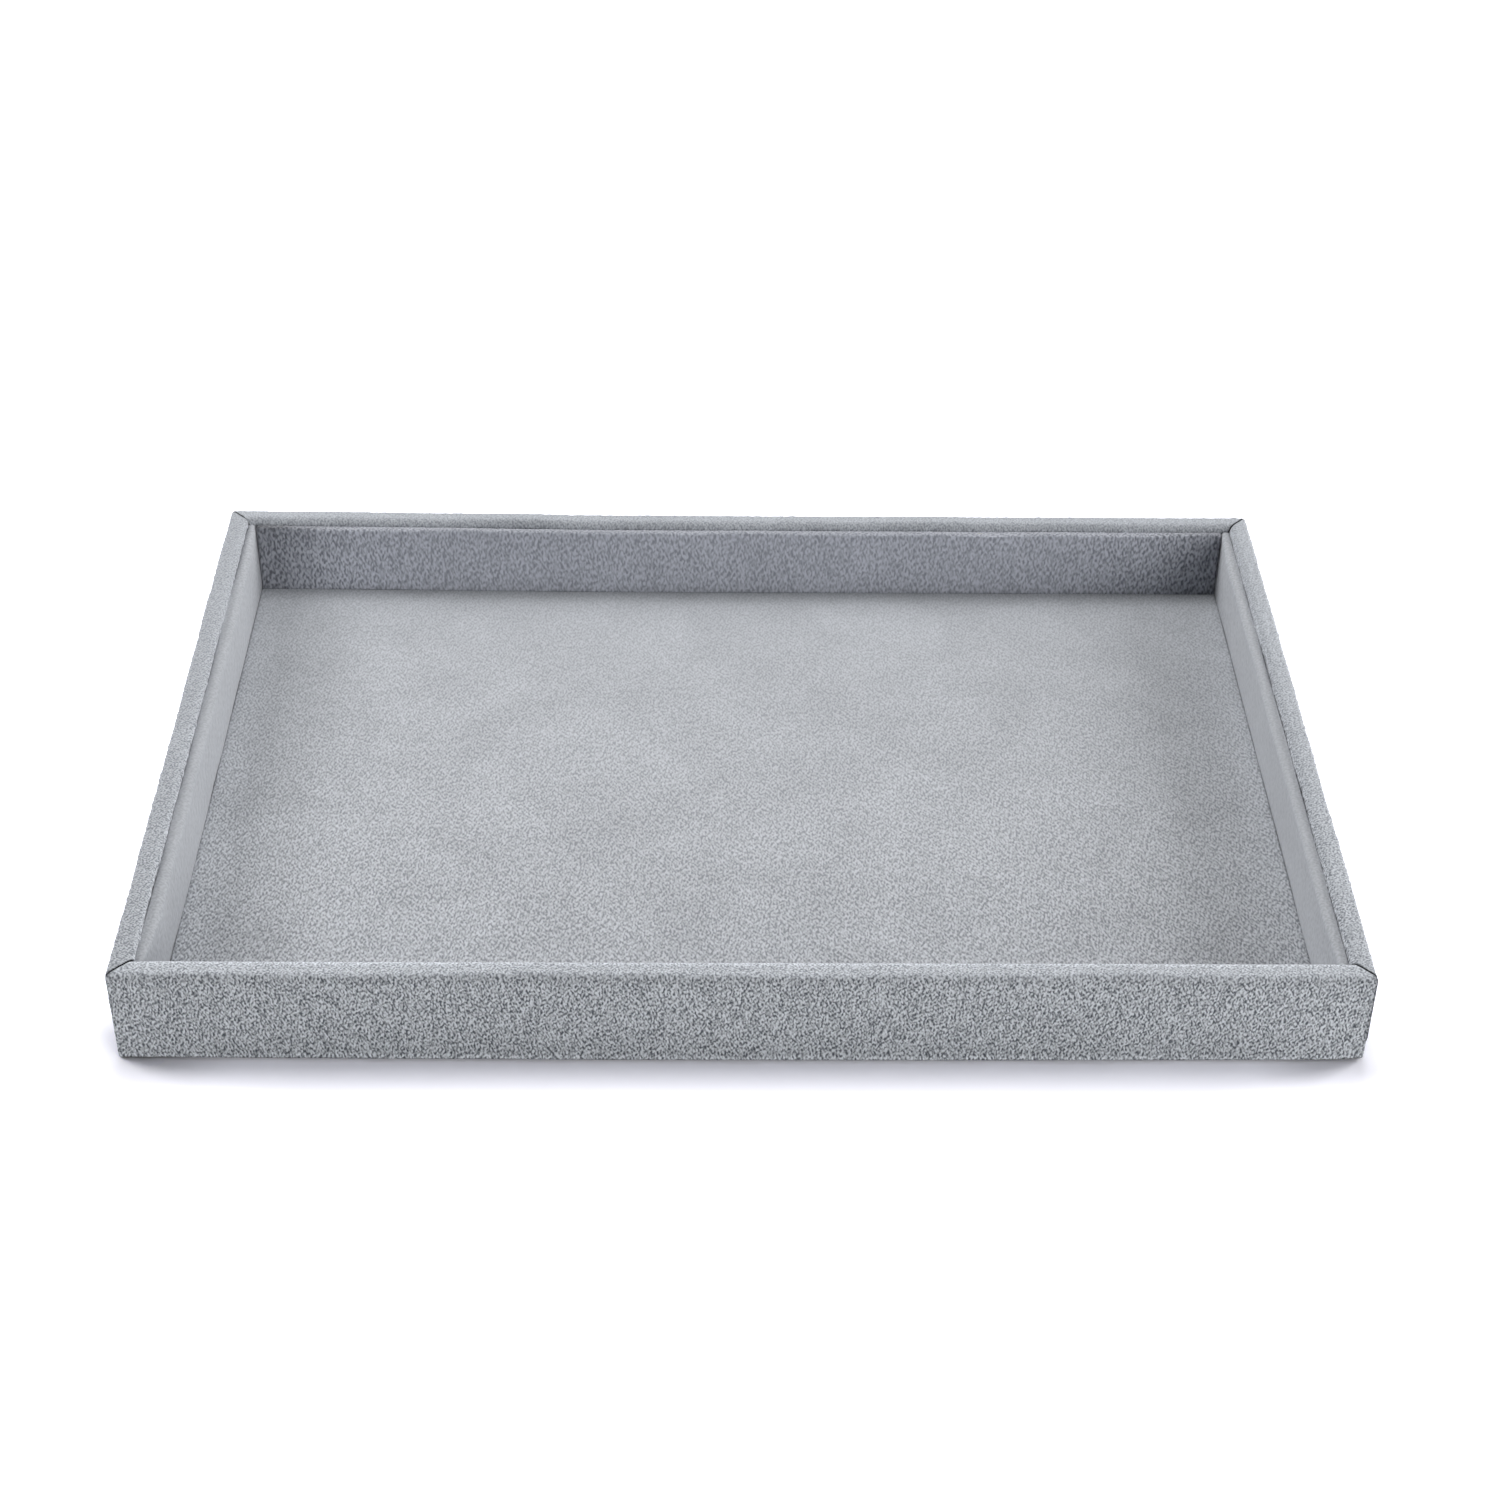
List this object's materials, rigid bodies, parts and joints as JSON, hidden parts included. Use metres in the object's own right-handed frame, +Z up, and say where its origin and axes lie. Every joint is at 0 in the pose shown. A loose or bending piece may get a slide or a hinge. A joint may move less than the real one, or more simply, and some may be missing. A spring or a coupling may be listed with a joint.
{
  "type": "jewelry tray",
  "caption": "Shallow rectangular jewelry display tray with mitred, cloth-wrapped walls, a lower cloth-covered liner that leaves a step below the rim, and a padded cloth floor.",
  "frame": {"origin": "middle of the underside, on the surface that the tray stands on", "axes": "+X along the length, to the right seen from the front; +Y from the front wall to the back wall; +Z up"},
  "size_m": [0.35, 0.242, 0.0312],
  "materials": {
    "grey_microsuede": "napped microsuede, matte",
    "underside_flannel": "short flannel nap, matte",
    "foam_wadding": "open-cell foam, matte",
    "fibreboard": "raw medium-density fibreboard",
    "hardboard": "raw hardboard",
    "greyboard": "raw greyboard, matte",
    "nail_steel": "bright drawn wire"
  },
  "bodies": {
    "root": {"front_wall_core": "fibreboard", "right_wall_core": "fibreboard", "back_wall_core": "fibreboard", "left_wall_core": "fibreboard", "corner_brads": "nail_steel", "base_board": "hardboard", "base_pins": "nail_steel", "front_wall_wrap": "grey_microsuede", "right_wall_wrap": "grey_microsuede", "back_wall_wrap": "grey_microsuede", "left_wall_wrap": "grey_microsuede", "front_liner_board": "greyboard", "right_liner_board": "greyboard", "back_liner_board": "greyboard", "left_liner_board": "greyboard", "front_liner_wrap": "grey_microsuede", "right_liner_wrap": "grey_microsuede", "back_liner_wrap": "grey_microsuede", "left_liner_wrap": "grey_microsuede", "floor_card": "greyboard", "floor_wadding": "foam_wadding", "floor_cover": "grey_microsuede", "underside_cloth": "underside_flannel"}
  },
  "joints": []
}
